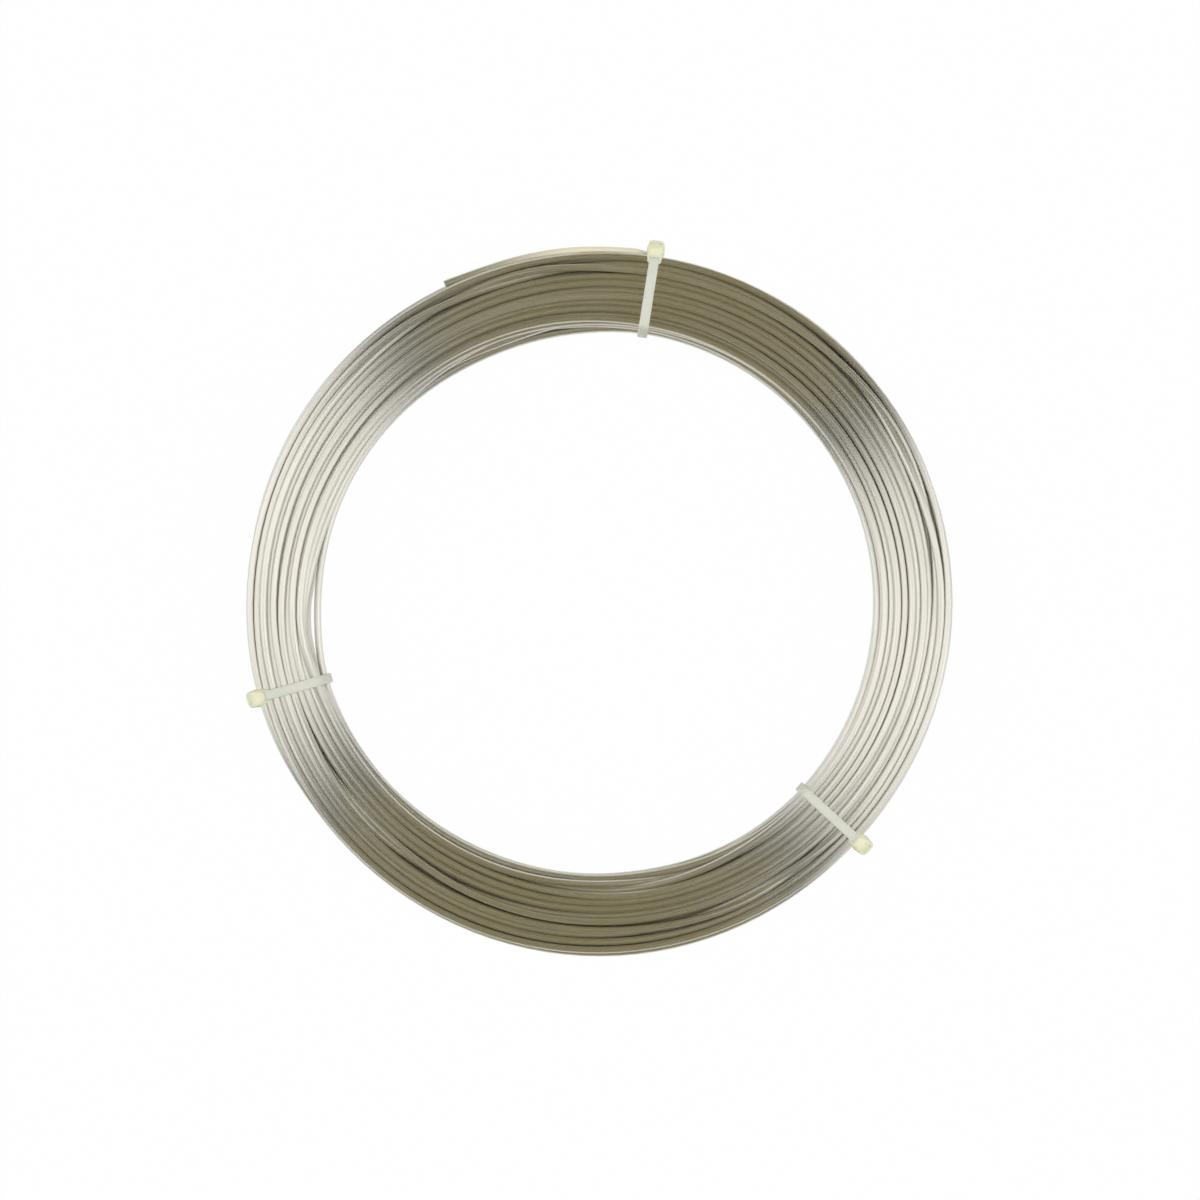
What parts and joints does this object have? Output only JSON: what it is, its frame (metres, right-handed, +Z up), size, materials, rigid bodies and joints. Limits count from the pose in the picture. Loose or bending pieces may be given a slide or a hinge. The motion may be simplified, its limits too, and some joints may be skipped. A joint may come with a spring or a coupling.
{
  "type": "coil of wire",
  "caption": "Flat ring of bright drawn metal wire, wound in nested layers round an open bore and bound by small nylon cable ties.",
  "frame": {"origin": "on the coil's axis, in the plane that the undersides of the cable ties rest on", "axes": "+Z up along the coil's axis; +X to the right and +Y to the top of the picture, which looks straight down"},
  "size_m": [0.1792, 0.1807, 0.0144],
  "materials": {
    "wire": "bright drawn, fine lengthwise die lines",
    "nylon": "natural nylon, slightly translucent"
  },
  "bodies": {
    "root": {"wire_coil": "wire", "cable_tie_top": "nylon", "cable_tie_left": "nylon", "cable_tie_right": "nylon"}
  },
  "joints": []
}
